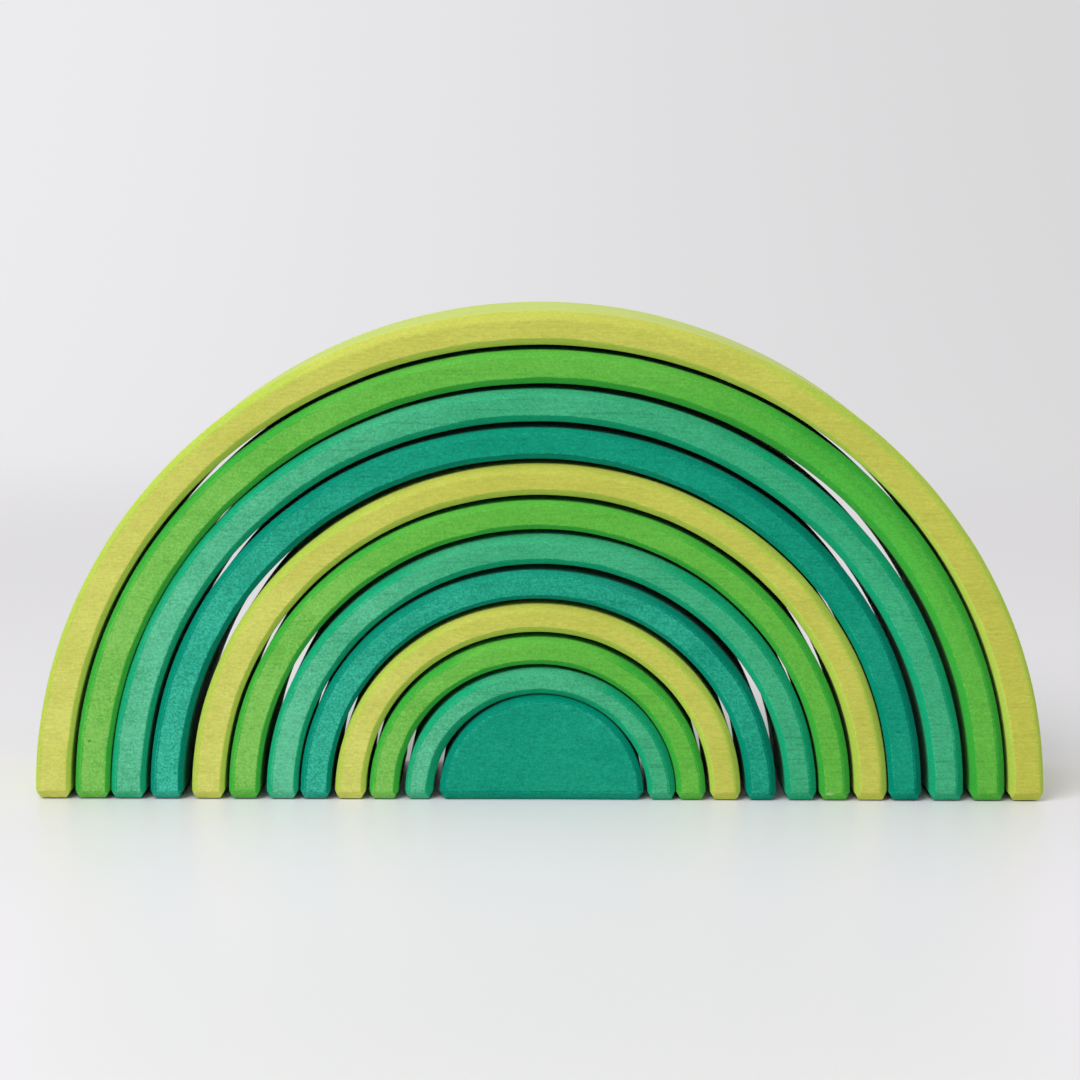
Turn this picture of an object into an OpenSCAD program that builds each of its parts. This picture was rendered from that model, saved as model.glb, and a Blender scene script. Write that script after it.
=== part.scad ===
// Nesting rainbow: wooden arches sawn one inside the other from a flat block, over a solid half-round.
// The front faces -Y, the feet stand on Z = 0 and the outermost arch is centred on X = 0.

/* [Block] */
// Width across the feet of the outermost arch
span = 370.4; // [320:0.1:420]
// Depth of every piece from front to back
depth = 70; // [40:1:100]
// Width of the half-round in the middle
half_round_width = 75.2; // [60:0.1:100]

/* [Arches] */
// Saw cut between two pieces, across their feet
saw_cut = 1.6; // [1.2:0.05:2]
// Straight stretch at the foot of every leg
leg_straight = 1.6; // [0.5:0.1:5]
// Rise of every curve as a share of its half width
rise_share = 0.96; // [0.8:0.01:1]

/* [Bevels] */
// Bevel along the front and back rims
rim_bevel = 2.2; // [1:0.1:3]
// Bevel round the underside of every foot, measured along the ground
foot_bevel = 1.8; // [1:0.1:3]
// Height of that bevel above the ground
foot_bevel_rise = 3; // [1:0.1:4]

/* [Hidden] */
$fn = 180;
NODES = [
    "arch_01_lime", "arch_02_green", "arch_03_mint", "arch_04_teal",
    "arch_05_lime", "arch_06_green", "arch_07_mint", "arch_08_teal",
    "arch_09_lime", "arch_10_green", "arch_11_mint", "half_round_teal"
];
core = len(NODES) - 1;

// Front and back faces, and where their bevels start, from the middle plane
rim = depth / 2;
shoulder = rim - rim_bevel;
// How far a cut runs past the wood
overrun = 1;

// The four stains, repeated from the outermost piece inwards
stains = ["#c9cb5c", "#5fb83f", "#54ba8c", "#1b967d"];

// Walls thin out towards the middle, as shares of the outermost wall
wall_shares = [1, 1, 0.99, 0.94, 0.94, 0.89, 0.9, 0.87, 0.88, 0.84, 0.81];
// Hand-guided saw cuts, as shares of the plain cut
cut_shares = [0.85, 0.8, 1.35, 1.1, 0.9, 1, 1.2, 1.05, 0.85, 0.75, 1.1];
// How far each piece stands off centre in the arch round it, as shares of the cut between them
offset_shares = [0.1, -0.75, -0.25, 0.75, 0, 0.45, -0.6, -0.1, -0.1, 0.85, 0.25];
// What is left of the last cut at the crown, where the half-round stands closest under its arch
crown_share = 0.2;

// Sum of the first count entries of a list
function sum_first(list, count) = count == 0 ? 0 : list[count - 1] + sum_first(list, count - 1);

cuts = [for (share = cut_shares) share * saw_cut];
offsets = [for (i = [0 : core - 1]) offset_shares[i] * cuts[i]];
// The walls fill what the half-round and the cuts leave of half the span
wall_room = (span - half_round_width) / 2 - sum_first(cuts, core);
outer_wall = wall_room / sum_first(wall_shares, core);
walls = [for (share = wall_shares) share * outer_wall];

// Half width of piece i across its feet, and of the opening inside it
function outer_half(i) = span / 2 - sum_first(walls, i) - sum_first(cuts, i);
function inner_half(i) = outer_half(i) - walls[i];
// Place of piece i along X
function centre_x(i) = sum_first(offsets, i);
// Rise of the half-round as a share of its half width
core_rise_share = (inner_half(core - 1) * rise_share - cuts[core - 1] * crown_share) / outer_half(core);

// Section across a wall, with all four rims bevelled
module wall_section(inner, outer) {
    polygon([
        [inner, -shoulder], [inner + rim_bevel, -rim], [outer - rim_bevel, -rim], [outer, -shoulder],
        [outer, shoulder], [outer - rim_bevel, rim], [inner + rim_bevel, rim], [inner, shoulder]
    ]);
}

// Section across the half-round, from its middle to its bevelled rims
module solid_section(outer) {
    polygon([
        [0, -rim], [outer - rim_bevel, -rim], [outer, -shoulder],
        [outer, shoulder], [outer - rim_bevel, rim], [0, rim]
    ]);
}

// Flattened half turn of a section on top of its straight stretch
module bent_over(share) {
    translate([0, 0, leg_straight])
        scale([1, 1, share])
            rotate([90, 0, 0])
                rotate_extrude(angle = 180)
                    children();
    for (side = [0, 1])
        mirror([side, 0, 0])
            linear_extrude(leg_straight)
                children();
}

// Bar of diamond section along Y, which bevels the bottom edge that it lies on
module bevel_bar(length) {
    rotate([90, 0, 0])
        linear_extrude(length, center = true)
            polygon([[-foot_bevel, 0], [0, foot_bevel_rise], [foot_bevel, 0], [0, -foot_bevel_rise]]);
}

// Bars along every bottom edge of feet whose sides stand at the given places
module foot_bevels(sides) {
    for (x = sides)
        translate([x, 0, 0])
            bevel_bar(depth + overrun);
    for (y = [-rim, rim])
        translate([0, y, 0])
            rotate([0, 0, 90])
                bevel_bar(span + overrun);
}

// One arch, counted from the outside
module arch(i) {
    outer = outer_half(i);
    inner = inner_half(i);
    color(stains[i % len(stains)])
        translate([centre_x(i), 0, 0])
            difference() {
                bent_over(rise_share)
                    wall_section(inner, outer);
                foot_bevels([-outer, -inner, inner, outer]);
            }
}

// The solid half-round that the arches stand over
module half_round() {
    outer = outer_half(core);
    color(stains[core % len(stains)])
        translate([centre_x(core), 0, 0])
            difference() {
                bent_over(core_rise_share)
                    solid_section(outer);
                foot_bevels([-outer, outer]);
            }
}

for (i = [0 : core - 1])
    arch(i);
half_round();
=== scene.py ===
"""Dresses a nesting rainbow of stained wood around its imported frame.

The eleven arches and the half-round take their places and sizes from the frame. Each is a closed numpy
surface with hand-worked bevels that carries how far every point lies from them, and each stain is a node
material that reads those distances to tell sanded faces from the deeper coloured bevels and saw cuts.
"""

from __future__ import annotations

import logging
import math
from collections.abc import Sequence
from dataclasses import dataclass, field
from enum import Enum
from typing import Union

import bpy
import numpy as np
from mathutils import Matrix, Vector


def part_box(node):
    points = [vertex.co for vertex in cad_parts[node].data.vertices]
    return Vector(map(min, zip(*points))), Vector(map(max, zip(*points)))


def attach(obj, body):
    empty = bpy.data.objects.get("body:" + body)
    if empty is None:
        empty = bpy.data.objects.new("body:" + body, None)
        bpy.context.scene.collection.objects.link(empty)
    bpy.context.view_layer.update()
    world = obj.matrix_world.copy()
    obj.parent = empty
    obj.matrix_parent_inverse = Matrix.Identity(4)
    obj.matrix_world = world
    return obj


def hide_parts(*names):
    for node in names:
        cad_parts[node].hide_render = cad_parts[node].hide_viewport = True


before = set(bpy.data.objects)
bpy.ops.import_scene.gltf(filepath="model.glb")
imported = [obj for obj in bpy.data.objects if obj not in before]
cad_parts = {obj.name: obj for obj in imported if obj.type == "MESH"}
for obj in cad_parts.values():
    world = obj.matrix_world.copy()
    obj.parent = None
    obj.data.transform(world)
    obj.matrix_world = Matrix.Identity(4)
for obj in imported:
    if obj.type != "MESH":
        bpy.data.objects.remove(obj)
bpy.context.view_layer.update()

log = logging.getLogger("rainbow")

MM = 0.001

Array = np.ndarray
Colour = tuple[float, float, float]


def tint(red: int, green: int, blue: int) -> Colour:
    """Turns a colour as it is seen on a screen into the light that it sends back.

    Args:
        red: Red from 0 to 255.
        green: Green from 0 to 255.
        blue: Blue from 0 to 255.

    Returns:
        The three channels from 0 to 1, without the screen's curve.
    """
    seen = np.array((red, green, blue)) / 255
    light = np.where(seen <= 0.04045, seen / 12.92, ((seen + 0.055) / 1.055) ** 2.4)
    return tuple(float(channel) for channel in light)


# Shader graphs


class Tone:
    """A socket that takes part in Python expressions; each operator on values adds one Math node."""

    def __init__(self, graph: Graph, socket: bpy.types.NodeSocket) -> None:
        """Keeps the socket and the graph that it belongs to."""
        self.graph = graph
        self.socket = socket

    def maths(self, operation: str, first: Operand, second: Operand = 0.0) -> Tone:
        """Adds a Math node for two operands.

        Args:
            operation: Name of the Math node's operation.
            first: Left-hand number or socket.
            second: Right-hand number or socket.

        Returns:
            The node's result.
        """
        return self.graph.node("ShaderNodeMath", {"operation": operation}, {0: first, 1: second})

    def __add__(self, other: Operand) -> Tone:
        """This plus other."""
        return self.maths("ADD", self, other)

    def __radd__(self, other: Operand) -> Tone:
        """Other plus this."""
        return self.maths("ADD", other, self)

    def __sub__(self, other: Operand) -> Tone:
        """This less other."""
        return self.maths("SUBTRACT", self, other)

    def __rsub__(self, other: Operand) -> Tone:
        """Other less this."""
        return self.maths("SUBTRACT", other, self)

    def __mul__(self, other: Operand) -> Tone:
        """This times other."""
        return self.maths("MULTIPLY", self, other)

    def __rmul__(self, other: Operand) -> Tone:
        """Other times this."""
        return self.maths("MULTIPLY", other, self)

    def rise(self, low: float, high: float) -> Tone:
        """Climbs smoothly from 0 at low to 1 at high, and stays there.

        Args:
            low: Value at which the climb starts.
            high: Value at which it ends; below low, the climb is a fall.

        Returns:
            The smooth step.
        """
        sockets = {"Value": self, "From Min": low, "From Max": high}
        return self.graph.node("ShaderNodeMapRange", {"interpolation_type": "SMOOTHSTEP"}, sockets)


Operand = Union[Tone, float]


class Graph:
    """The node tree of one material or world, written from an empty sheet."""

    MIX_FIRST, MIX_SECOND, MIX_RESULT = 6, 7, 2

    def __init__(self, tree: bpy.types.NodeTree) -> None:
        """Clears the tree."""
        self.tree = tree
        tree.nodes.clear()

    def node(
        self,
        kind: str,
        settings: dict[str, object] | None = None,
        sockets: dict[int | str, object] | None = None,
        out: int | str = 0,
    ) -> Tone:
        """Adds a node.

        Args:
            kind: The node's type.
            settings: Its own settings, which are set first.
            sockets: Values or links of its inputs, by name or number.
            out: Name or number of the output that is wanted.

        Returns:
            That output.
        """
        made = self.tree.nodes.new(kind)
        for name, value in (settings or {}).items():
            setattr(made, name, value)
        for key, value in (sockets or {}).items():
            if isinstance(value, Tone):
                self.tree.links.new(value.socket, made.inputs[key])
            else:
                made.inputs[key].default_value = value
        return Tone(self, made.outputs[out] if made.outputs else None)

    def carried(self, name: str) -> Tone:
        """Value of a named attribute that the piece's mesh carries."""
        return self.node("ShaderNodeAttribute", {"attribute_name": name}, out="Fac")

    def noise(self, at: Tone, stretch: tuple[float, float, float], detail: float = 2.0) -> Tone:
        """Soft random pattern about zero.

        Args:
            at: Coordinates in metres.
            stretch: Patches to the metre along X, Y and Z.
            detail: How many finer layers are added.

        Returns:
            A value that wanders about 0, mostly within 0.2.
        """
        place = self.node("ShaderNodeVectorMath", {"operation": "MULTIPLY"}, {0: at, 1: stretch})
        return self.node("ShaderNodeTexNoise", {}, {"Vector": place, "Scale": 1.0, "Detail": detail}) - 0.5

    def mix(self, first: Colour | Tone, second: Colour | Tone, share: Operand) -> Tone:
        """Blends two colours.

        Args:
            first: Colour at share 0.
            second: Colour at share 1.
            share: How much of the second colour shows.

        Returns:
            The blended colour.
        """
        ends = {self.MIX_FIRST: first, self.MIX_SECOND: second}
        plain = {key: end if isinstance(end, Tone) else (*end, 1.0) for key, end in ends.items()}
        return self.node("ShaderNodeMix", {"data_type": "RGBA"}, {0: share, **plain}, self.MIX_RESULT)

    def dimmed(self, colour: Tone, factor: Tone) -> Tone:
        """The colour with all three channels times a factor."""
        return self.node("ShaderNodeVectorMath", {"operation": "SCALE"}, {0: colour, "Scale": factor})

    def seen(self) -> Tone:
        """1 for rays that picture what they meet, straight or mirrored, and 0 for those that light it."""
        kinds = ("Is Camera Ray", "Is Glossy Ray", "Is Transmission Ray")
        straight, mirrored, bent = (self.node("ShaderNodeLightPath", out=kind) for kind in kinds)
        return (straight + mirrored + bent).rise(0.0, 1.0)


# Finishes


class Stain(Enum):
    """The four stains, by the name of the slot that takes them."""

    LIME = "lime_stain"
    GREEN = "green_stain"
    MINT = "mint_stain"
    TEAL = "teal_stain"


@dataclass(frozen=True)
class Mark:
    """A small flaw in the wood.

    Attributes:
        place: Its middle in the shared frame, in metres.
        reach: Its half size along X, Y and Z, in metres.
        colour: The colour that shows in it.
    """

    place: tuple[float, float, float]
    reach: tuple[float, float, float]
    colour: Colour

    FRAY, COVER = 2.5, 0.8
    EDGE = (1.1, 0.5)

    def over(self, graph: Graph, at: Tone, colour: Tone, ragged: Tone) -> Tone:
        """Lays the flaw over a colour.

        Args:
            graph: The graph of the stain.
            at: Coordinates in metres.
            colour: The colour of the wood round it.
            ragged: Pattern about 0 that frays its edge.

        Returns:
            The colour with the flaw in it.
        """
        away = graph.node("ShaderNodeVectorMath", {"operation": "SUBTRACT"}, {0: at, 1: self.place})
        shares = graph.node("ShaderNodeVectorMath", {"operation": "DIVIDE"}, {0: away, 1: self.reach})
        length = graph.node("ShaderNodeVectorMath", {"operation": "LENGTH"}, {0: shares}, "Value")
        return graph.mix(colour, self.colour, (length + ragged * self.FRAY).rise(*self.EDGE) * self.COVER)


@dataclass(frozen=True)
class StainFinish:
    """How one stain sits in the wood.

    Attributes:
        deep: Colour on bevels and saw cuts, which drink the most stain.
        face: Colour on the sanded front and back.
        pale: Colour where a face is palest, from rubbing and from painted sheen of the lamp.
        border: Width in mm over which face colour fades in from a bevel.
        streaks: Strength of the long streaks along the grain.
        fibres: Strength of the short fibres.
        specks: Strength of the woolly specks of rubbed faces.
        rubbing: How far the outer bevels take the face's colour at the crown.
        soaking: Strength of the painted shade on bevels turned from the lamp.
        marks: Small flaws in the wood of this stain.
    """

    deep: Colour
    face: Colour
    pale: Colour
    border: float
    streaks: float
    fibres: float
    specks: float
    rubbing: float
    soaking: float
    marks: tuple[Mark, ...] = ()

    # Patches to the metre along and across the grain, which runs along X
    STREAK_SCALE = (14.0, 850.0, 850.0)
    FIBRE_SCALE = (420.0, 1900.0, 1900.0)
    SPECK_SCALE = (1500.0, 1500.0, 1500.0)
    CLOUD_SCALE = (45.0, 70.0, 70.0)
    # Border between face and bevel: its ends as shares of its width, and what frays and widens it
    BORDER_ENDS = (-0.4, 0.6)
    CLOUD_FRAY, FIBRE_FRAY, PALE_SPREAD = 0.8, 0.3, 0.45
    # Unevenness of the paleness, which is rubbing and painted sheen, and wear of the edges
    SPECK_RUB, CLOUD_RUB = 3.5, 1.5
    WEAR, WEAR_REACH, WEAR_PATCHES = 0.35, (0.45, 0.05), (-0.05, 0.3)
    # Dark lines along the grain, and how far the paleness, rubbed and painted sheen, hides them
    LINES, PALE_COVER = (0.05, 0.17), 0.5
    CLOUD_SHADE = 0.12
    # Strength of the painted light on inner bevels
    BARENESS = 0.18
    # Coat of the polished outer curve, and the tint of its painted top light, paler where light falls from
    # above
    POLISH, POLISH_TINT, POLISHED = 0.25, 0.55, tint(207, 220, 112)
    ROUGHNESS, SPECK_ROUGHNESS, WORN_SMOOTHNESS = 0.62, 0.25, 0.1
    GLOSS, DUST, SOFTNESS = 0.04, 0.03, 0.4
    BUMP_STRENGTH, BUMP_DEPTH, SPECK_BUMP = 0.35, 0.12 * MM, 0.5

    def material(self, stain: Stain) -> bpy.types.Material:
        """Builds the material of this stain.

        Args:
            stain: The stain that it is for.

        Returns:
            The node material.
        """
        made = bpy.data.materials.new(stain.value)
        made.use_nodes = True
        graph = Graph(made.node_tree)
        at = graph.node("ShaderNodeTexCoord", out="Object")
        rim, arris, pale, rub = (graph.carried(name) for name in ("rim", "arris", "pale", "rub"))
        polish, soak, bare = (graph.carried(name) for name in ("polish", "soak", "bare"))
        sand, lined = (graph.carried(name) for name in ("sand", "lined"))
        streak = graph.noise(at, self.STREAK_SCALE)
        fibre = graph.noise(at, self.FIBRE_SCALE)
        speck = graph.noise(at, self.SPECK_SCALE, 1.0)
        cloud = graph.noise(at, self.CLOUD_SCALE)

        ragged = rim * (1.0 - pale * self.PALE_SPREAD) + cloud * self.CLOUD_FRAY + fibre * self.FIBRE_FRAY
        flat = ragged.rise(*(end * self.border for end in self.BORDER_ENDS)) * sand
        sanded = flat + rub * self.rubbing * (1.0 - flat)
        # Paleness: rubbed faces, and painted sheen from the lamp, heaviest on the left legs
        rubbed = sanded * pale * (1.0 + speck * self.specks * self.SPECK_RUB + cloud * self.CLOUD_RUB)
        colour = graph.mix(graph.mix(self.deep, self.face, sanded), self.pale, rubbed)
        worn = arris.rise(*self.WEAR_REACH) * (fibre + speck + cloud).rise(*self.WEAR_PATCHES)
        colour = graph.mix(colour, self.pale, worn * self.WEAR)
        # Painted top light: the outer curve is tinted paler, as its top looks where light falls from above
        colour = graph.mix(colour, self.POLISHED, polish * self.POLISH_TINT)
        shade = 1.0 + streak * self.streaks + fibre * self.fibres
        shade = shade + speck * self.specks + cloud * self.CLOUD_SHADE
        lines = flat * lined * (1.0 - pale * self.PALE_COVER) * streak.rise(*self.LINES)
        # Painted shade darkens bevels turned from the lamp; painted light lifts inner bevels on the right
        # haunch and at the left foot
        drunk = soak * self.soaking - bare * self.BARENESS
        colour = graph.dimmed(colour, shade - lines * self.streaks - drunk * (1.0 - flat))
        for mark in self.marks:
            colour = mark.over(graph, at, colour, fibre + speck)
        height = fibre + speck * self.SPECK_BUMP
        sockets = {"Height": height, "Strength": self.BUMP_STRENGTH, "Distance": self.BUMP_DEPTH}
        bump = graph.node("ShaderNodeBump", {}, sockets)
        wood = graph.node(
            "ShaderNodeBsdfPrincipled",
            {},
            {
                "Base Color": colour,
                "Roughness": self.ROUGHNESS + speck * self.SPECK_ROUGHNESS - worn * self.WORN_SMOOTHNESS,
                "Specular IOR Level": self.GLOSS,
                "Sheen Weight": self.DUST,
                "Sheen Roughness": self.SOFTNESS,
                "Coat Weight": polish * self.POLISH,
                "Coat Roughness": self.SOFTNESS,
                "Normal": bump,
            },
        )
        graph.node("ShaderNodeOutputMaterial", {}, {"Surface": wood})
        return made


FINISHES: dict[Stain, StainFinish] = {
    Stain.LIME: StainFinish(
        deep=tint(175, 198, 78), face=tint(187, 189, 79), pale=tint(204, 206, 106),
        border=1.1, streaks=0.08, fibres=0.36, specks=0.22, rubbing=0.85, soaking=0.02,
    ),
    Stain.GREEN: StainFinish(
        deep=tint(58, 166, 58), face=tint(86, 174, 59), pale=tint(126, 189, 88),
        border=1.4, streaks=0.14, fibres=0.36, specks=0.42, rubbing=0.75, soaking=0.06,
        marks=(
            Mark((-0.165, -0.035, 0.0215), (0.0008, 0.001, 0.0006), tint(60, 136, 48)),
            Mark((0.1067, -0.035, 0.0026), (0.0016, 0.002, 0.0006), tint(196, 214, 168)),
        ),
    ),
    Stain.MINT: StainFinish(
        deep=tint(22, 162, 113), face=tint(52, 162, 113), pale=tint(94, 187, 145),
        border=1.1, streaks=0.22, fibres=0.46, specks=0.50, rubbing=0.85, soaking=0.14,
    ),
    Stain.TEAL: StainFinish(
        deep=tint(0, 136, 110), face=tint(8, 141, 111), pale=tint(66, 184, 156),
        border=1.1, streaks=0.16, fibres=0.50, specks=0.58, rubbing=0.6, soaking=0.22,
    ),
}


# Surfaces


def woven(rows: int, columns: int) -> Array:
    """Quads between neighbouring rows of a grid whose columns close up.

    Args:
        rows: Number of rows.
        columns: Number of points in each row.

    Returns:
        Four corners for each quad.
    """
    row, column = np.meshgrid(np.arange(rows - 1) * columns, np.arange(columns), indexing="ij")
    beside = (column + 1) % columns
    corners = (row + column, row + beside, row + columns + beside, row + columns + column)
    return np.stack(corners, axis=-1).reshape(-1, 4)


def fan(first: int, columns: int, tip: int) -> Array:
    """Triangles from every step of a closed row to one tip.

    Args:
        first: Index of the row's first point.
        columns: Number of points in the row.
        tip: Index of the tip.

    Returns:
        Three corners for each triangle.
    """
    step = np.arange(columns)
    return np.stack((first + step, np.full(columns, tip), first + (step + 1) % columns), axis=-1)


def soft_ramp(value: Array, ease: float) -> Array:
    """Zero below nought and the value itself above it, with a parabola of half-width ease between."""
    eased = (value + ease) ** 2 / (4 * ease)
    return np.where(value < -ease, 0.0, np.where(value > ease, value, eased))


def ripple(along: Array, seed: int, waves: tuple[float, ...]) -> Array:
    """Gentle unevenness of handwork: sines of the given wave lengths, each with its own chance phase.

    Args:
        along: Distance along the work, in the unit of the wave lengths.
        seed: Seed of the phases.
        waves: Wave lengths.

    Returns:
        Values that stay between -1 and 1.
    """
    phases = np.random.default_rng(seed).uniform(0, 2 * math.pi, len(waves))
    turns = 2 * math.pi * np.asarray(along)[..., None] / np.array(waves) + phases
    return np.sin(turns).mean(axis=-1)


# Points on each rounded corner of an outline
BEND = 5


def eased_outline(corners: Array, reach: Array, steps: Sequence[int], bend: int = BEND) -> Array:
    """Rounds the corners of closed outlines and spreads points along their straight sides.

    A corner is a parabola from a reach before it to a reach after it. Along each side the points crowd
    towards the ends by a cosine, so that the flats stay flat beside the rounded corners.

    Args:
        corners: Corners of each outline, as (outline, corner, coordinate).
        reach: Reach of each corner's rounding.
        steps: Points inside each side, from its own corner to the next.
        bend: Points on each rounded corner.

    Returns:
        Points of each outline, as (outline, point, coordinate).
    """
    to_next = np.roll(corners, -1, axis=1) - corners
    length = np.linalg.norm(to_next, axis=-1, keepdims=True)
    forward = to_next / length
    # Two roundings on one side never meet
    longest = 0.45 * np.minimum(length, np.roll(length, 1, axis=1))
    held = np.minimum(reach[None, :, None], longest)
    start = corners - held * np.roll(forward, 1, axis=1)
    end = corners + held * forward
    share = np.linspace(0, 1, bend)[None, :, None]
    blocks = []
    for k, count in enumerate(steps):
        first, middle, last = start[:, k, None], corners[:, k, None], end[:, k, None]
        blocks.append((1 - share) ** 2 * first + 2 * share * (1 - share) * middle + share**2 * last)
        crowd = 0.5 - 0.5 * np.cos(math.pi * np.arange(1, count + 1) / (count + 1))
        next_start = start[:, (k + 1) % len(steps), None]
        blocks.append(last + (next_start - last) * crowd[None, :, None])
    return np.concatenate(blocks, axis=1)


@dataclass
class Shell:
    """A closed surface in mm and what its points carry.

    Attributes:
        points: Places of the points.
        faces: Arrays of quads and triangles.
        carried: Values of the points by attribute name.
    """

    points: Array
    faces: list[Array]
    carried: dict[str, Array]

    def piece(self, name: str, material: bpy.types.Material) -> bpy.types.Object:
        """Makes the surface an object at the origin.

        Args:
            name: The object's name.
            material: Its finish.

        Returns:
            The object, linked to the scene.
        """
        mesh = bpy.data.meshes.new(name)
        polygons = [polygon for block in self.faces for polygon in block.tolist()]
        mesh.from_pydata((self.points * MM).tolist(), [], polygons)
        mesh.polygons.foreach_set("use_smooth", np.ones(len(polygons), dtype=bool))
        for label, values in self.carried.items():
            layer = mesh.attributes.new(label, "FLOAT", "POINT")
            layer.data.foreach_set("value", np.ascontiguousarray(values, dtype=np.float32))
        mesh.materials.append(material)
        mesh.update()
        made = bpy.data.objects.new(name, mesh)
        bpy.context.scene.collection.objects.link(made)
        return made


# The rainbow


@dataclass(frozen=True)
class Run:
    """A share that changes over an arch.

    Attributes:
        left: The share at the left foot.
        crown: The share at the crown.
        right: The share at the right foot.
        dip: How far it falls short on the right haunch.
    """

    left: float
    crown: float
    right: float
    dip: float = 0.0

    def over(self, turn: Array) -> Array:
        """Gives the share at every station.

        Foot shares fade into the crown's by the squared sine of the angle, and the dip follows the squared
        sine of twice the angle.

        Args:
            turn: Angles from the right foot.

        Returns:
            The share at each angle.
        """
        right = np.cos(turn) > 0
        foot = np.where(right, self.right, self.left)
        fade = foot * np.cos(turn) ** 2 + self.crown * np.sin(turn) ** 2
        return fade - np.where(right, self.dip, 0.0) * np.sin(2 * turn) ** 2


@dataclass(frozen=True)
class Drift:
    """How far in mm a hand-guided saw strayed outwards.

    Attributes:
        left: Stray on the left haunch.
        crown: Stray at the crown.
        right: Stray on the right haunch.
    """

    left: float = 0.0
    crown: float = 0.0
    right: float = 0.0

    def over(self, turn: Array) -> Array:
        """Haunches swell by the squared sine of twice the angle, the crown by the sine's fourth power."""
        haunch = np.where(np.cos(turn) > 0, self.right, self.left)
        return haunch * np.sin(2 * turn) ** 2 + self.crown * np.sin(turn) ** 4


@dataclass(frozen=True)
class Workshop:
    """Sizes in mm that all the pieces share, as the block was sawn and bevelled.

    Attributes:
        outer_wall: Wall of the outermost arch.
        leg_straight: Straight stretch at the foot of every leg.
        rise_share: Rise of every arch's curve as a share of its half width.
        rim_bevel: Bevel along the front and back rims.
        foot_bevel: Bevel round the underside of every foot, along the ground.
        foot_rise: Height of that bevel.
        face_ease: Rounding where a face meets its outer bevel.
        arris_ease: Rounding of the other edges.
        station: Step between stations along a path.
        toe_sanding: Distance from the rim that the top of a foot bevel counts as.
        toe_fade: How fast that distance falls towards the ground.
    """

    outer_wall: float = 12.93
    leg_straight: float = 1.6
    rise_share: float = 0.96
    rim_bevel: float = 2.2
    foot_bevel: float = 1.8
    foot_rise: float = 3.0
    face_ease: float = 0.9
    arris_ease: float = 0.4
    station: float = 1.4
    toe_sanding: float = 0.6
    toe_fade: float = 0.25

    # Softening of a foot bevel's top edge, as a share of its height
    TOP_EASE = 0.08

    def foot_inset(self, height: Array) -> Array:
        """How far a foot's sides lean in at a height: the foot bevel, with its top edge softened."""
        return self.foot_bevel * soft_ramp(1 - height / self.foot_rise, self.TOP_EASE)

    def sole_inset(self, height: Array) -> Array:
        """Rounding of a foot's lowest edge: a quarter circle of the plain edge's reach."""
        short = np.clip(1 - height / self.arris_ease, 0, 1)
        return self.arris_ease * (1 - np.sqrt(1 - short**2))

    def toe(self, height: Array) -> Array:
        """Distance from the rim as the stain sees it in a foot: the sanding thins out towards the ground."""
        return self.toe_sanding + self.toe_fade * (height - self.foot_rise)


SHOP = Workshop()


@dataclass(frozen=True)
class Place:
    """Where the frame puts a piece, in mm: its middle along X, half width, half depth and height."""

    middle: float
    half_width: float
    half_depth: float
    height: float

    @classmethod
    def of(cls, node: str) -> Place:
        """Reads the place of a CAD node from the frame."""
        low, high = (np.array(corner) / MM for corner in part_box(node))
        return cls((low[0] + high[0]) / 2, (high[0] - low[0]) / 2, (high[1] - low[1]) / 2, high[2])


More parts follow.
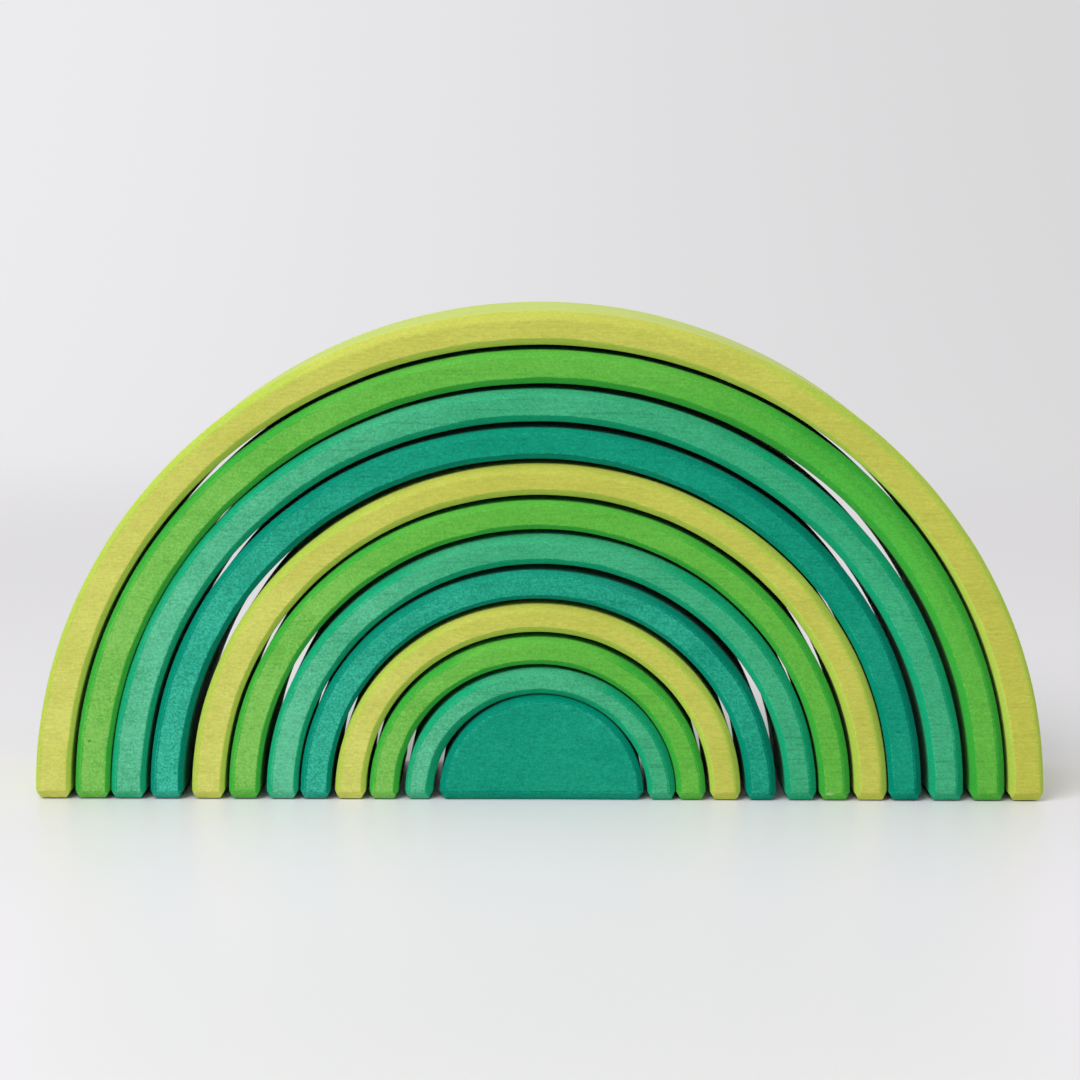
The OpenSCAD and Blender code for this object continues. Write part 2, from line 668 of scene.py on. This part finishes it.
@dataclass
class Arch:
    """One arch of the rainbow.

    Attributes:
        number: Its number from the outside, as two digits.
        stain: Its stain.
        wall_share: Its wall as a share of the outermost one.
        outer_bevel: Its outer bevels as shares of the plain rim bevel.
        inner_bevel: Its inner bevels as shares of the plain rim bevel.
        paleness: How far its faces are rubbed pale and painted with the lamp's sheen, most on the left legs.
        outer_drift: How far its outer curve strays.
        inner_drift: How far its inner curve strays.
        skipped: How far the sanding passed over its right haunch.
        polish: How far its outer curve is polished, and how far it is tinted with painted top light.
        place: Where the frame puts it.
    """

    number: str
    stain: Stain
    wall_share: float
    outer_bevel: Run
    inner_bevel: Run
    paleness: Run
    outer_drift: Drift = Drift()
    inner_drift: Drift = Drift()
    skipped: float = 0.0
    polish: float = 0.0
    place: Place = field(init=False)

    # Points inside each side of the section: front, outer bevel, outer curve, and so on round
    SIDE_STEPS = (9, 2, 14, 2, 9, 2, 14, 2)
    FOOT_LEVELS = (0.0, 0.05, 0.15, 0.28, 0.45, 0.9, 1.4)
    BEVEL_LEVELS = (1.9, 2.3, 2.6, 2.8, 3.0, 3.2, 3.4, 3.8, 4.4)
    UNEVEN = 0.06
    WAVES = (31.0, 53.0, 97.0)
    BEVEL_UNEVEN = 0.08
    BEVEL_WAVES = (19.0, 37.0, 71.0)
    LEAST_BEVEL = 0.12
    # Seeds of the chance phases, counted from the arch's number
    INNER_SEED, OUTER_BEVEL_SEEDS, INNER_BEVEL_SEEDS = 40, (80, 120), (160, 200)
    INNER_CRISPNESS = 2.5
    FACE_MARGIN, SHOULDER_MARGIN = 0.02, 0.1
    # Sine of the angle where rubbing of the crown starts, and where it is full
    CROWN_START, CROWN_FULL = 0.83, 0.95
    # Painted shade on bevels turned from the lamp: outer ones on the right, inner ones at the crown and
    # towards the left
    OUTER_SOAK, CROWN_SOAK, INNER_SOAK = 1.3, 0.5, 0.6
    # Painted light on inner bevels: how strong on the right haunch, and how narrow at the left foot
    BARE_HAUNCH, BARE_FOOT_POWER = 3, 12
    # How much more polish and painted top light the right side of the outer curve takes
    POLISH_TURN = 0.5

    def __post_init__(self) -> None:
        """Takes the arch's place from the frame."""
        self.place = Place.of(self.node)

    @property
    def node(self) -> str:
        """Name of the CAD node that the arch stands for."""
        return f"arch_{self.number}_{self.stain.name.lower()}"

    @property
    def body(self) -> str:
        """Name of the body that the arch rides on."""
        return f"arch_{self.number}"

    @property
    def outer(self) -> float:
        """Half width across the feet."""
        return self.place.half_width

    @property
    def inner(self) -> float:
        """Half width of the opening."""
        return self.outer - self.wall_share * SHOP.outer_wall

    def stations(self) -> tuple[Array, Array]:
        """Stations along the path, from the right foot over the crown to the left foot.

        Levels are close together in the feet, and the curve between them is stepped evenly.

        Returns:
            Angle from the right foot, and depth below the start of the curve, at each station.
        """
        middle = (self.outer + self.inner) / 2
        climb = np.arcsin((np.array(self.BEVEL_LEVELS) - SHOP.leg_straight) / (SHOP.rise_share * middle))
        count = int(middle * (math.pi - 2 * climb[-1]) / SHOP.station)
        arc = np.linspace(climb[-1], math.pi - climb[-1], count)[1:-1]
        low = np.array(self.FOOT_LEVELS)
        right, left = np.zeros_like(low), np.full_like(low, math.pi)
        turn = np.concatenate((right, climb, arc, math.pi - climb[::-1], left))
        drop = np.zeros_like(turn)
        drop[: len(low)] = SHOP.leg_straight - low
        drop[-len(low) :] = drop[: len(low)][::-1]
        return turn, drop

    def section(self, turn: Array, drop: Array) -> tuple[Array, Array]:
        """Bevelled sections across the wall at every station.

        Each is a rectangle from the inner to the outer radius and from front to back, with four cut
        corners; in the feet it draws in by the foot bevel, which eats up the cut corners from below.

        Args:
            turn: Angle of each station.
            drop: Depth of each station below the curve.

        Returns:
            Points as (station, point, radius and depth), and the sections' corners in the same form.
        """
        seed = int(self.number)
        along = turn * self.outer
        height = SHOP.leg_straight - drop + SHOP.rise_share * (self.outer + self.inner) / 2 * np.sin(turn)
        inset = SHOP.foot_inset(height)
        lean = inset + SHOP.sole_inset(height)
        outer_loss = self.UNEVEN * (1 + ripple(along, seed, self.WAVES)) + lean
        inner_loss = self.UNEVEN * (1 + ripple(along, seed + self.INNER_SEED, self.WAVES)) + lean
        outer = self.outer - outer_loss + self.outer_drift.over(turn)
        inner = self.inner + inner_loss + self.inner_drift.over(turn)
        depth = self.place.half_depth - lean

        def bevel(run: Run, salt: int) -> Array:
            """Width of a bevel at every station: its run, a little uneven, less what the foot takes."""
            uneven = 1 + self.BEVEL_UNEVEN * ripple(along, seed + salt, self.BEVEL_WAVES)
            return np.maximum(SHOP.rim_bevel * run.over(turn) * uneven - 2 * inset, self.LEAST_BEVEL)

        front_outer, back_outer = (bevel(self.outer_bevel, salt) for salt in self.OUTER_BEVEL_SEEDS)
        front_inner, back_inner = (bevel(self.inner_bevel, salt) for salt in self.INNER_BEVEL_SEEDS)
        radius = (
            inner + front_inner, outer - front_outer, outer, outer,
            outer - back_outer, inner + back_inner, inner, inner,
        )
        deep = (
            -depth, -depth, -depth + front_outer, depth - back_outer,
            depth, depth, depth - back_inner, -depth + front_inner,
        )
        corners = np.stack((np.stack(radius, axis=1), np.stack(deep, axis=1)), axis=-1)
        soft, plain = SHOP.face_ease, SHOP.arris_ease
        reach = np.array((plain, soft, plain, plain, soft, plain, plain, plain))
        points = eased_outline(corners, reach, self.SIDE_STEPS)
        # The outline starts where its inner side crosses the middle, so that point j faces point -1 - j
        start = self.SIDE_STEPS[6] // 2 + self.SIDE_STEPS[7] + BEND
        return np.roll(points, start, axis=1), corners

    def shell(self) -> Shell:
        """The whole arch: sections carried over the path, with each sole closed by strips across it.

        A point of radius r at angle t stands at X = middle + r cos t and Z = straight + rise r sin t,
        less the station's drop.

        Returns:
            The closed surface.
        """
        turn, drop = self.stations()
        points, corners = self.section(turn, drop)
        radius, deep = points[..., 0], points[..., 1]
        east = self.place.middle + radius * np.cos(turn)[:, None]
        up = SHOP.leg_straight - drop[:, None] + SHOP.rise_share * radius * np.sin(turn)[:, None]
        rows, columns = radius.shape

        gaps = np.linalg.norm(points[:, :, None] - corners[:, None], axis=-1)
        outer_border, inner_border = gaps[..., [1, 4]].min(axis=-1), gaps[..., [0, 5]].min(axis=-1)
        borders = np.minimum(outer_border, inner_border * self.INNER_CRISPNESS)
        front = np.abs(deep) > np.abs(deep).max(axis=1, keepdims=True) - self.FACE_MARGIN
        rim = np.minimum(np.where(front, borders, -borders), SHOP.toe(up))
        arris = np.minimum(gaps.min(axis=-1), np.abs(up - SHOP.foot_rise))
        outer = radius > 0.5 * (corners[:, 1, 0] + corners[:, 0, 0])[:, None]
        shoulder = np.abs(corners[:, 2:4, 1]).min(axis=1)[:, None]
        bevelled = outer & (np.abs(deep) > shoulder + self.SHOULDER_MARGIN)
        facing, rising = np.cos(turn)[:, None], np.sin(turn)[:, None]
        climb = np.clip((rising - self.CROWN_START) / (self.CROWN_FULL - self.CROWN_START), 0, 1)
        rub = np.where(bevelled, climb**2 * (3 - 2 * climb), 0.0)
        # Polish and painted top light on the outer curve, leaving its bevels
        polish = np.where(outer & ~bevelled, self.polish * (1 + self.POLISH_TURN * facing), 0.0)
        # Painted shade: outer bevels facing right and inner bevels facing down or right, away from the lamp,
        # are darkened
        soak = np.where(outer, self.OUTER_SOAK * facing, self.CROWN_SOAK - self.INNER_SOAK * facing)
        # Painted light: inner bevels on the right haunch and at the left foot are lightened
        haunch = self.BARE_HAUNCH * np.maximum(facing, 0) ** 3 * rising
        bare = np.where(outer, 0.0, haunch + np.minimum(facing, 0) ** self.BARE_FOOT_POWER)
        carried = {
            "rim": rim.ravel(),
            "arris": arris.ravel(),
            # Paleness along the arch: rubbing, and painted sheen of the lamp, heaviest on the left legs
            "pale": np.repeat(self.paleness.over(turn), columns),
            "rub": rub.ravel(),
            "polish": polish.ravel(),
            "soak": np.clip(soak, 0, 1).ravel(),
            "bare": bare.ravel(),
            "sand": np.repeat(1 - Drift(right=self.skipped).over(turn), columns),
            "lined": np.ones(radius.size),
        }
        half = np.arange(columns // 2 - 1)
        sole = np.stack((half, half + 1, columns - 2 - half, columns - 1 - half), axis=-1)
        faces = [woven(rows, columns), sole, sole[:, ::-1] + (rows - 1) * columns]
        return Shell(np.stack((east, deep, up), axis=-1).reshape(-1, 3), faces, carried)

    def dress(self, materials: dict[Stain, bpy.types.Material]) -> bpy.types.Object:
        """Builds the arch and puts it in the place of its CAD node.

        Args:
            materials: Materials by stain.

        Returns:
            The finished piece.
        """
        piece = self.shell().piece(f"{self.stain.name.lower()}_arch_{self.number}", materials[self.stain])
        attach(piece, self.body)
        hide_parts(self.node)
        return piece


@dataclass
class HalfRound:
    """The solid half-round that the arches stand over.

    Attributes:
        stain: Its stain.
        paleness: How far its faces are rubbed.
        node: Its CAD node.
        body: The body that it rides on.
        place: Where the frame puts it.
    """

    stain: Stain = Stain.TEAL
    paleness: float = 0.1
    node: str = "half_round_teal"
    body: str = "half_round"
    place: Place = field(init=False)

    BASE_STEPS, BEVEL_STEPS, ARC_STEPS = 14, 6, 150
    FACE_SHARES = (0.97, 0.92, 0.85, 0.75, 0.63, 0.5, 0.36, 0.22, 0.1)
    FACE_MARGIN = 3.0
    # Height of the faces' middle as a share of the whole, and least height and rounding of the foot bevel
    TIP_SHARE, LEAST_TOE, TOE_EASE = 0.45, 0.6, 0.25
    # Rounding of the edge's corners and points along its sides, from the front face to the back
    EDGE_REACH, EDGE_STEPS = (0.0, 0.5, 0.4, 0.4, 0.5, 0.0), (6, 3, 16, 3, 6, 0)
    # How near the plane of a face its rounding and its flat lie
    ROUNDED, FLAT, FOOT_TOP = 0.3, 0.02, 0.01
    EDGE_PALENESS, EDGE_WIDTH = 0.3, 0.6
    # What only the arches show
    UNUSED = ("rub", "polish", "soak", "bare", "lined")

    def __post_init__(self) -> None:
        """Takes the place of the piece from the frame."""
        self.place = Place.of(self.node)

    @property
    def rise_share(self) -> float:
        """Rise of its curve as a share of its half width."""
        return (self.place.height - SHOP.leg_straight) / self.place.half_width

    def outline(self, inset: Array, base: Array) -> tuple[Array, Array]:
        """Outlines round the half-round, each at its own inset and height of its base.

        From the middle of the base an outline runs right, up the foot bevel, over the flattened half
        turn and back: X = r cos t and Z = straight + rise r sin t, where r is the half width less inset.

        Args:
            inset: Inset of each outline.
            base: Height of each outline's base.

        Returns:
            X from the middle, and Z, of every point of every outline.
        """
        radius = (self.place.half_width - inset)[:, None]
        low = base[:, None]
        top = np.maximum(SHOP.foot_rise, low + self.LEAST_TOE)
        first = np.arcsin((top - SHOP.leg_straight) / (self.rise_share * radius))
        turn = first + (math.pi - 2 * first) * np.linspace(0, 1, self.ARC_STEPS)
        arc_x, arc_z = radius * np.cos(turn), SHOP.leg_straight + self.rise_share * radius * np.sin(turn)
        toe = radius - SHOP.foot_inset(low) - self.TOE_EASE
        crowd = 0.5 - 0.5 * np.cos(math.pi * np.arange(self.BEVEL_STEPS) / self.BEVEL_STEPS)
        bevel_x, bevel_z = toe + (arc_x[:, :1] - toe) * crowd, low + (top - low) * crowd
        base_x = toe * np.sin(math.pi / 2 * np.arange(self.BASE_STEPS) / self.BASE_STEPS)
        base_z = np.broadcast_to(low, base_x.shape)
        x = np.concatenate((base_x, bevel_x, arc_x, -bevel_x[:, ::-1], -base_x[:, :0:-1]), axis=1)
        z = np.concatenate((base_z, bevel_z, arc_z, bevel_z[:, ::-1], base_z[:, :0:-1]), axis=1)
        return x, z

    def profile(self) -> tuple[Array, Array]:
        """The bevelled edge from just inside the front face to just inside the back face.

        Returns:
            Inset and depth of every row of the edge.
        """
        rim, bevel, inside = self.place.half_depth, SHOP.rim_bevel, SHOP.rim_bevel + self.FACE_MARGIN
        corners = np.array(
            [[(inside, -rim), (bevel, -rim), (0, bevel - rim), (0, rim - bevel), (bevel, rim), (inside, rim)]]
        )
        # The ends have no reach, so all but one of their points are dropped
        edge = eased_outline(corners, np.array(self.EDGE_REACH), self.EDGE_STEPS)[0, BEND - 1 : 1 - BEND]
        return edge[:, 0], edge[:, 1]

    def shell(self) -> Shell:
        """The whole half-round: outlines carried along the edge's profile and drawn in over both faces.

        Returns:
            The closed surface.
        """
        inset, deep = self.profile()
        rim = self.place.half_depth
        lift = SHOP.foot_rise * soft_ramp(1 - (rim - np.abs(deep)) / SHOP.foot_bevel, SHOP.TOP_EASE)
        base = lift + np.maximum(inset - SHOP.rim_bevel, 0.0) * (np.abs(deep) > rim - self.ROUNDED)
        x, z = self.outline(inset, base)
        tip = self.TIP_SHARE * z.max()
        shares = np.array(self.FACE_SHARES)[:, None]
        front_x, front_z = x[0] * shares, tip + (z[0] - tip) * shares
        back_x, back_z = x[-1] * shares, tip + (z[-1] - tip) * shares
        x = np.concatenate((front_x[::-1], x, back_x))
        z = np.concatenate((front_z[::-1], z, back_z))
        ends = np.full(len(self.FACE_SHARES), rim)
        deep = np.concatenate((-ends, deep, ends))
        rows, columns = x.shape
        grid = np.stack((self.place.middle + x, np.repeat(deep[:, None], columns, axis=1), z), axis=-1)
        tips = np.array([(self.place.middle, -rim, tip), (self.place.middle, rim, tip)])
        points = np.concatenate((grid.reshape(-1, 3), tips))

        across, climb = points[:, 0] - self.place.middle, (points[:, 2] - SHOP.leg_straight) / self.rise_share
        inside = self.place.half_width - SHOP.rim_bevel - np.hypot(across, climb)
        behind = rim - np.abs(points[:, 1])
        foot = points[:, 2] - SHOP.foot_rise
        front = (behind < self.FLAT) | ((foot < self.FOOT_TOP) & (behind < SHOP.foot_bevel))
        from_rim = np.where(front, np.abs(inside), np.hypot(inside, behind))
        to_face = np.where(front & (inside > 0), from_rim, -from_rim)
        carried = {
            "rim": np.minimum(to_face, SHOP.toe(points[:, 2])),
            "arris": np.minimum(from_rim, np.abs(foot)),
            "pale": self.paleness + self.EDGE_PALENESS * np.exp(-((from_rim / self.EDGE_WIDTH) ** 2)),
            "sand": np.ones(len(points)),
        }
        carried.update({name: np.zeros(len(points)) for name in self.UNUSED})
        last = rows * columns
        faces = [
            woven(rows, columns)[:, ::-1],
            fan(0, columns, last)[:, ::-1],
            fan((rows - 1) * columns, columns, last + 1),
        ]
        return Shell(points, faces, carried)

    def dress(self, materials: dict[Stain, bpy.types.Material]) -> bpy.types.Object:
        """Builds the half-round and puts it in the place of its CAD node.

        Args:
            materials: Materials by stain.

        Returns:
            The finished piece.
        """
        piece = self.shell().piece("teal_half_round", materials[self.stain])
        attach(piece, self.body)
        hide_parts(self.node)
        return piece


def arches() -> list[Arch]:
    """The eleven arches from the outside in, with the bevels and saw drifts their maker left, and paleness
    that is partly painted sheen; the outermost also carries painted top light.
    """
    lime, green, mint, teal = Stain.LIME, Stain.GREEN, Stain.MINT, Stain.TEAL
    return [
        Arch(
            "01", lime, 1.0, Run(0.6, 1.4, 0.6), Run(0.75, 1.15, 1.0, 0.35), Run(0.8, 0.25, 0.0),
            polish=1.0,
        ),
        Arch(
            "02", green, 1.0, Run(0.85, 1.1, 1.1), Run(0.75, 1.1, 1.1), Run(1.0, 0.2, 0.25),
            Drift(0.4, -0.35, 0.2), Drift(-0.1, -0.2, 0.15), skipped=0.7,
        ),
        Arch(
            "03", mint, 0.99, Run(0.75, 1.2, 1.15), Run(0.8, 1.15, 1.05), Run(1.0, 0.2, 0.2),
            Drift(0.35, -0.75, -0.1), Drift(0.55, -0.4, -0.55), skipped=0.25,
        ),
        Arch(
            "04", teal, 0.94, Run(0.8, 1.0, 1.0), Run(0.85, 1.0, 0.85), Run(0.65, 0.05, 0.1),
            Drift(1.1, -0.4, 0.35), Drift(0.25, -0.2, -0.2),
        ),
        Arch(
            "05", lime, 0.94, Run(0.7, 1.35, 1.15), Run(0.75, 1.1, 1.1), Run(0.9, 0.1, 0.2),
            Drift(0.7, -0.25, 0.05), Drift(0.2, -0.05, -0.05),
        ),
        Arch(
            "06", green, 0.89, Run(0.7, 0.9, 1.05), Run(0.75, 0.85, 0.9), Run(1.0, 0.15, 0.25),
            Drift(0.7, -0.45, -0.15), Drift(0.2, -0.1, -0.35),
        ),
        Arch(
            "07", mint, 0.9, Run(0.75, 1.35, 1.1), Run(0.8, 1.05, 0.9), Run(1.0, 0.2, 0.2),
            Drift(0.45, -0.2, 0.0), Drift(0.15, -0.15, -0.4),
        ),
        Arch(
            "08", teal, 0.87, Run(0.7, 1.0, 1.0), Run(0.7, 0.75, 0.9), Run(0.6, 0.3, 0.25),
            Drift(0.45, -0.45, 0.05), Drift(0.1, -0.25, -0.25),
        ),
        Arch(
            "09", lime, 0.88, Run(0.65, 1.1, 1.0), Run(0.9, 1.05, 0.8), Run(0.9, 0.2, 0.2),
            Drift(0.2, -0.45, -0.15), Drift(0.3, -0.05, -0.1),
        ),
        Arch(
            "10", green, 0.84, Run(0.7, 1.1, 0.85), Run(0.95, 0.85, 0.9), Run(0.9, 0.2, 0.25),
            Drift(0.25, -0.45, -0.25), Drift(0.3, -0.2, -0.15),
        ),
        Arch(
            "11", mint, 0.81, Run(0.55, 1.15, 1.1), Run(1.35, 1.05, 0.9), Run(0.9, 0.3, 0.25),
            Drift(0.3, -0.3, -0.1), Drift(-0.1, 0.0, -0.3),
        ),
    ]


# The studio


@dataclass(frozen=True)
class Studio:
    """A pale round sweep, one large soft lamp, a soft sky and the camera, in metres.

    Attributes:
        floor_radius: Radius of the flat floor.
        sweep_radius: Radius of the curve from the floor to the rim.
        floor_left: Floor colour on the lamp's side.
        floor_right: Floor colour on the other side, paler: painted light that lifts the side away from the
            lamp and the rainbow's shadow there.
        floor_near: Floor colour close in front, paler: painted light that lifts the shade in front of the
            rainbow.
        haze_bright: Colour into which the sweep fades far behind, on the lamp's side.
        haze_dim: That colour on the other side.
        sky_toward: Direction in which the sky is brightest.
        sky_low: Strength of the sky on the far side from there.
        sky_high: Strength of the sky there.
        lamp_from: Direction of the lamp from the rainbow.
        lamp_distance: Its distance.
        lamp_size: Width of its square panel.
        lamp_light: Share of full white that it gives to a white card turned to it.
        eye: Place of the camera.
        pitch: Angle in degrees by which it looks down.
        roll: Angle in degrees by which it is turned about its own axis.
        lens: Its focal length in mm on a 36 mm sensor.
    """

    floor_radius: float = 1.15
    sweep_radius: float = 1.5
    floor_left: Colour = (0.755, 0.74, 0.765)
    floor_right: Colour = (0.81, 0.79, 0.81)
    floor_near: Colour = (0.88, 0.835, 0.91)
    haze_bright: Colour = (0.84, 0.83, 0.85)
    haze_dim: Colour = (0.7, 0.69, 0.7)
    sky_toward: tuple[float, float, float] = (-0.62, -0.25, 0.75)
    sky_low: float = 0.19
    sky_high: float = 0.76
    lamp_from: tuple[float, float, float] = (-0.42, -0.52, 0.75)
    lamp_distance: float = 2.2
    lamp_size: float = 1.3
    lamp_light: float = 0.6
    eye: tuple[float, float, float] = (-0.00013, -1.0124, 0.231)
    pitch: float = 7.838
    roll: float = 0.16
    lens: float = 90.757

    FLOOR_GAP = 0.0005
    ROUND, FLAT_STEPS, BEND_STEPS = 128, 30, 40
    # Radius of the innermost ring, and degrees at which the curve ends, low enough to look over from behind
    FIRST_RING, LAST_BEND = 0.04, 50
    # Where colours of the floor change along X and Y: across it, for painted light on the side away from the
    # lamp; close in front, for painted light before the rainbow; and towards the camera, for painted shade
    ACROSS = (-0.6, 0.7)
    NEAR_LEFT, NEAR_RIGHT = (-0.22, -0.08), (0.25, 0.12)
    NEAR_FRONT, NEAR_BACK = (-0.35, -0.08), (0.05, -0.03)
    # Painted shade towards the camera: where it starts and ends, and how dark it gets
    CAMERA_END, CAMERA_DIM = (-1.0, -0.4), 0.6
    BOARD_ROUGHNESS, BOARD_GLOSS = 0.4, 0.4
    # Where the haze lies: across, in front, up the sweep, and by distance
    HAZE_ACROSS, HAZE_FRONT = (0.7, -0.7), (-1.4, -0.8)
    HAZE_TOP, HAZE_AWAY = (0.53, 0.44), (0.45, 1.3)
    SKY_SPREAD = (-0.7, 0.7)

    def rim(self, around: Array) -> Array:
        """Height of the sweep's rim all round as a share of its height behind; it sinks to none in front."""
        return (0.5 + 0.5 * np.sin(around)) ** 0.5

    def sweep(self) -> bpy.types.Object:
        """The floor and its upturned rim: a profile of a flat and part of a circle, turned about Z.

        Returns:
            The stage object.
        """
        bend = np.radians(np.linspace(0, self.LAST_BEND, self.BEND_STEPS))
        flat = np.linspace(self.FIRST_RING, self.floor_radius, self.FLAT_STEPS)
        reach = np.concatenate((flat[:-1], self.floor_radius + self.sweep_radius * np.sin(bend)))
        climb = self.sweep_radius * (1 - np.cos(bend))
        rise = np.concatenate((np.zeros(len(flat) - 1), climb)) - self.FLOOR_GAP
        around = np.linspace(0, 2 * math.pi, self.ROUND, endpoint=False)
        ring = (np.cos(around), np.sin(around), self.rim(around))
        grid = np.stack([np.outer(row, part) for row, part in zip((reach, reach, rise), ring)], axis=-1)
        points = np.concatenate((grid.reshape(-1, 3), [(0, 0, -self.FLOOR_GAP)])) / MM
        faces = [woven(len(reach), self.ROUND)[:, ::-1], fan(0, self.ROUND, len(points) - 1)[:, ::-1]]
        made = Shell(points, faces, {}).piece("studio_sweep", self.paper())
        return made

    def paper(self) -> bpy.types.Material:
        """Smooth pale board that mirrors a little, with painted light close in front and on the side away
        from the lamp and painted shade towards the camera, fading into haze far off.

        Returns:
            The node material.
        """
        made = bpy.data.materials.new("pale_board")
        made.use_nodes = True
        graph = Graph(made.node_tree)
        at = graph.node("ShaderNodeTexCoord", out="Object")
        east, away, up = (graph.node("ShaderNodeSeparateXYZ", {}, {0: at}, axis) for axis in "XYZ")
        # Painted light: the board is paler on the side away from the lamp
        colour = graph.mix(self.floor_left, self.floor_right, east.rise(*self.ACROSS))
        # Painted light: the board is paler close in front of the rainbow, lifting its shade there
        beside = east.rise(*self.NEAR_LEFT) * east.rise(*self.NEAR_RIGHT)
        near = beside * away.rise(*self.NEAR_FRONT) * away.rise(*self.NEAR_BACK)
        colour = graph.mix(colour, self.floor_near, near)
        # Painted shade: the board darkens towards the camera, as if the floor in front lay in shade
        shade = self.CAMERA_DIM + (1.0 - self.CAMERA_DIM) * away.rise(*self.CAMERA_END)
        board = graph.node(
            "ShaderNodeBsdfPrincipled",
            {},
            {
                "Base Color": graph.dimmed(colour, shade),
                "Roughness": self.BOARD_ROUGHNESS,
                "Specular IOR Level": self.BOARD_GLOSS,
            },
        )
        lit = east.rise(*self.HAZE_ACROSS) * away.rise(*self.HAZE_FRONT) * up.rise(*self.HAZE_TOP)
        haze = graph.mix(self.haze_dim, self.haze_bright, lit)
        glow = graph.node("ShaderNodeEmission", {}, {"Color": haze, "Strength": 1.0})
        distance = graph.node("ShaderNodeVectorMath", {"operation": "LENGTH"}, {0: at}, "Value")
        far = distance.rise(*self.HAZE_AWAY) * graph.seen()
        whole = graph.node("ShaderNodeMixShader", {}, {0: far, 1: board, 2: glow})
        graph.node("ShaderNodeOutputMaterial", {}, {"Surface": whole})
        return made

    def lights(self) -> None:
        """Hangs the lamp and lights the sky; the lamp's power follows from its distance."""
        aim = Vector(self.lamp_from).normalized()
        panel = bpy.data.lights.new("soft_lamp", "AREA")
        panel.size = self.lamp_size
        panel.energy = self.lamp_light * math.pi**2 * self.lamp_distance**2
        lamp = bpy.data.objects.new("soft_lamp", panel)
        lamp.location = aim * self.lamp_distance
        lamp.rotation_euler = aim.to_track_quat("Z", "Y").to_euler()
        bpy.context.scene.collection.objects.link(lamp)
        world = bpy.data.worlds.new("soft_sky")
        world.use_nodes = True
        graph = Graph(world.node_tree)
        way = graph.node("ShaderNodeTexCoord", out="Generated")
        toward = {0: way, 1: tuple(Vector(self.sky_toward).normalized())}
        height = graph.node("ShaderNodeVectorMath", {"operation": "DOT_PRODUCT"}, toward, "Value")
        strength = self.sky_low + (self.sky_high - self.sky_low) * height.rise(*self.SKY_SPREAD)
        strength = strength + graph.seen() * (self.haze_dim[0] - strength)
        glow = graph.node("ShaderNodeBackground", {}, {"Color": (1.0, 1.0, 1.0, 1.0), "Strength": strength})
        graph.node("ShaderNodeOutputWorld", {}, {"Surface": glow})
        bpy.context.scene.world = world

    def camera(self) -> None:
        """Sets up the camera and the plain view of colours."""
        scene = bpy.context.scene
        view = bpy.data.cameras.new("front_camera")
        view.lens = self.lens
        made = bpy.data.objects.new("front_camera", view)
        tilt = Matrix.Rotation(math.radians(90 - self.pitch), 4, "X")
        turned = Matrix.Rotation(math.radians(self.roll), 4, "Z")
        made.matrix_world = Matrix.Translation(self.eye) @ tilt @ turned
        scene.collection.objects.link(made)
        scene.camera = made
        scene.view_settings.view_transform = "Standard"


def main() -> None:
    """Builds the studio and the rainbow."""
    logging.basicConfig(level=logging.INFO, format="%(name)s: %(message)s")
    studio = Studio()
    studio.camera()
    studio.sweep()
    studio.lights()
    materials = {stain: finish.material(stain) for stain, finish in FINISHES.items()}
    for made in (*arches(), HalfRound()):
        piece = made.dress(materials)
        log.info("%s rides on %s with %d faces", piece.name, made.body, len(piece.data.polygons))


if __name__ == "__main__":
    main()
